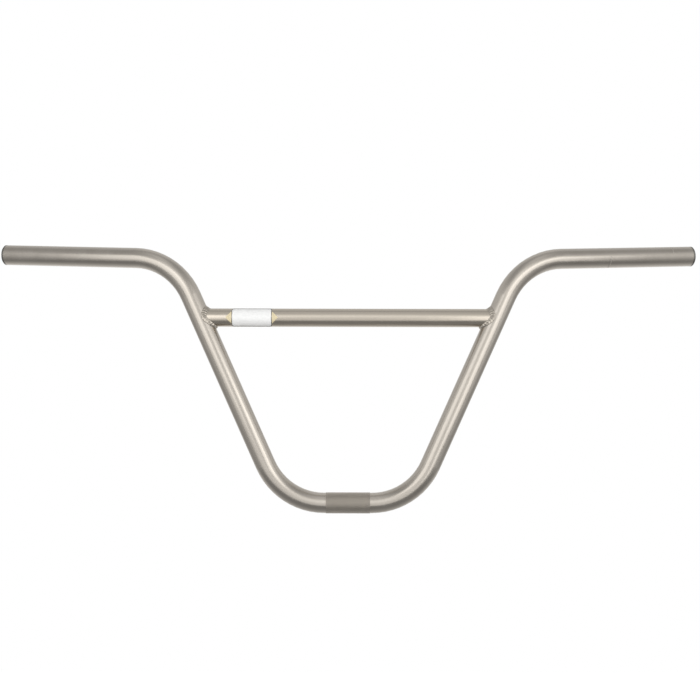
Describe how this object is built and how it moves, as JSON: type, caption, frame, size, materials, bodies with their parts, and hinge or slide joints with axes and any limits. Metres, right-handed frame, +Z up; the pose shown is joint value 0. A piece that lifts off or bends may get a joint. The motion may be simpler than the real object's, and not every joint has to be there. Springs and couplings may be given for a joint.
{
  "type": "bmx handlebar",
  "caption": "Tall-rise bicycle handlebar: one bent steel tube with swept-back grip ends, a welded crossbar between the uprights and a knurled stem clamp stretch.",
  "frame": {"origin": "centre of the knurled stem clamp stretch, on the tube's axis", "axes": "+X along the clamp's axis, to the right as seen from the front; +Y back towards the rider, the way the grips sweep; +Z up, along the rise"},
  "size_m": [0.776, 0.0602, 0.2953],
  "materials": {
    "main_tube": "raw steel under a satin clear coat",
    "crossbar": "raw steel under a satin clear coat",
    "welds": "rippled weld under a satin clear coat"
  },
  "bodies": {
    "root": {"main_tube": "main_tube", "crossbar": "crossbar", "left_weld": "welds", "right_weld": "welds"}
  },
  "joints": []
}
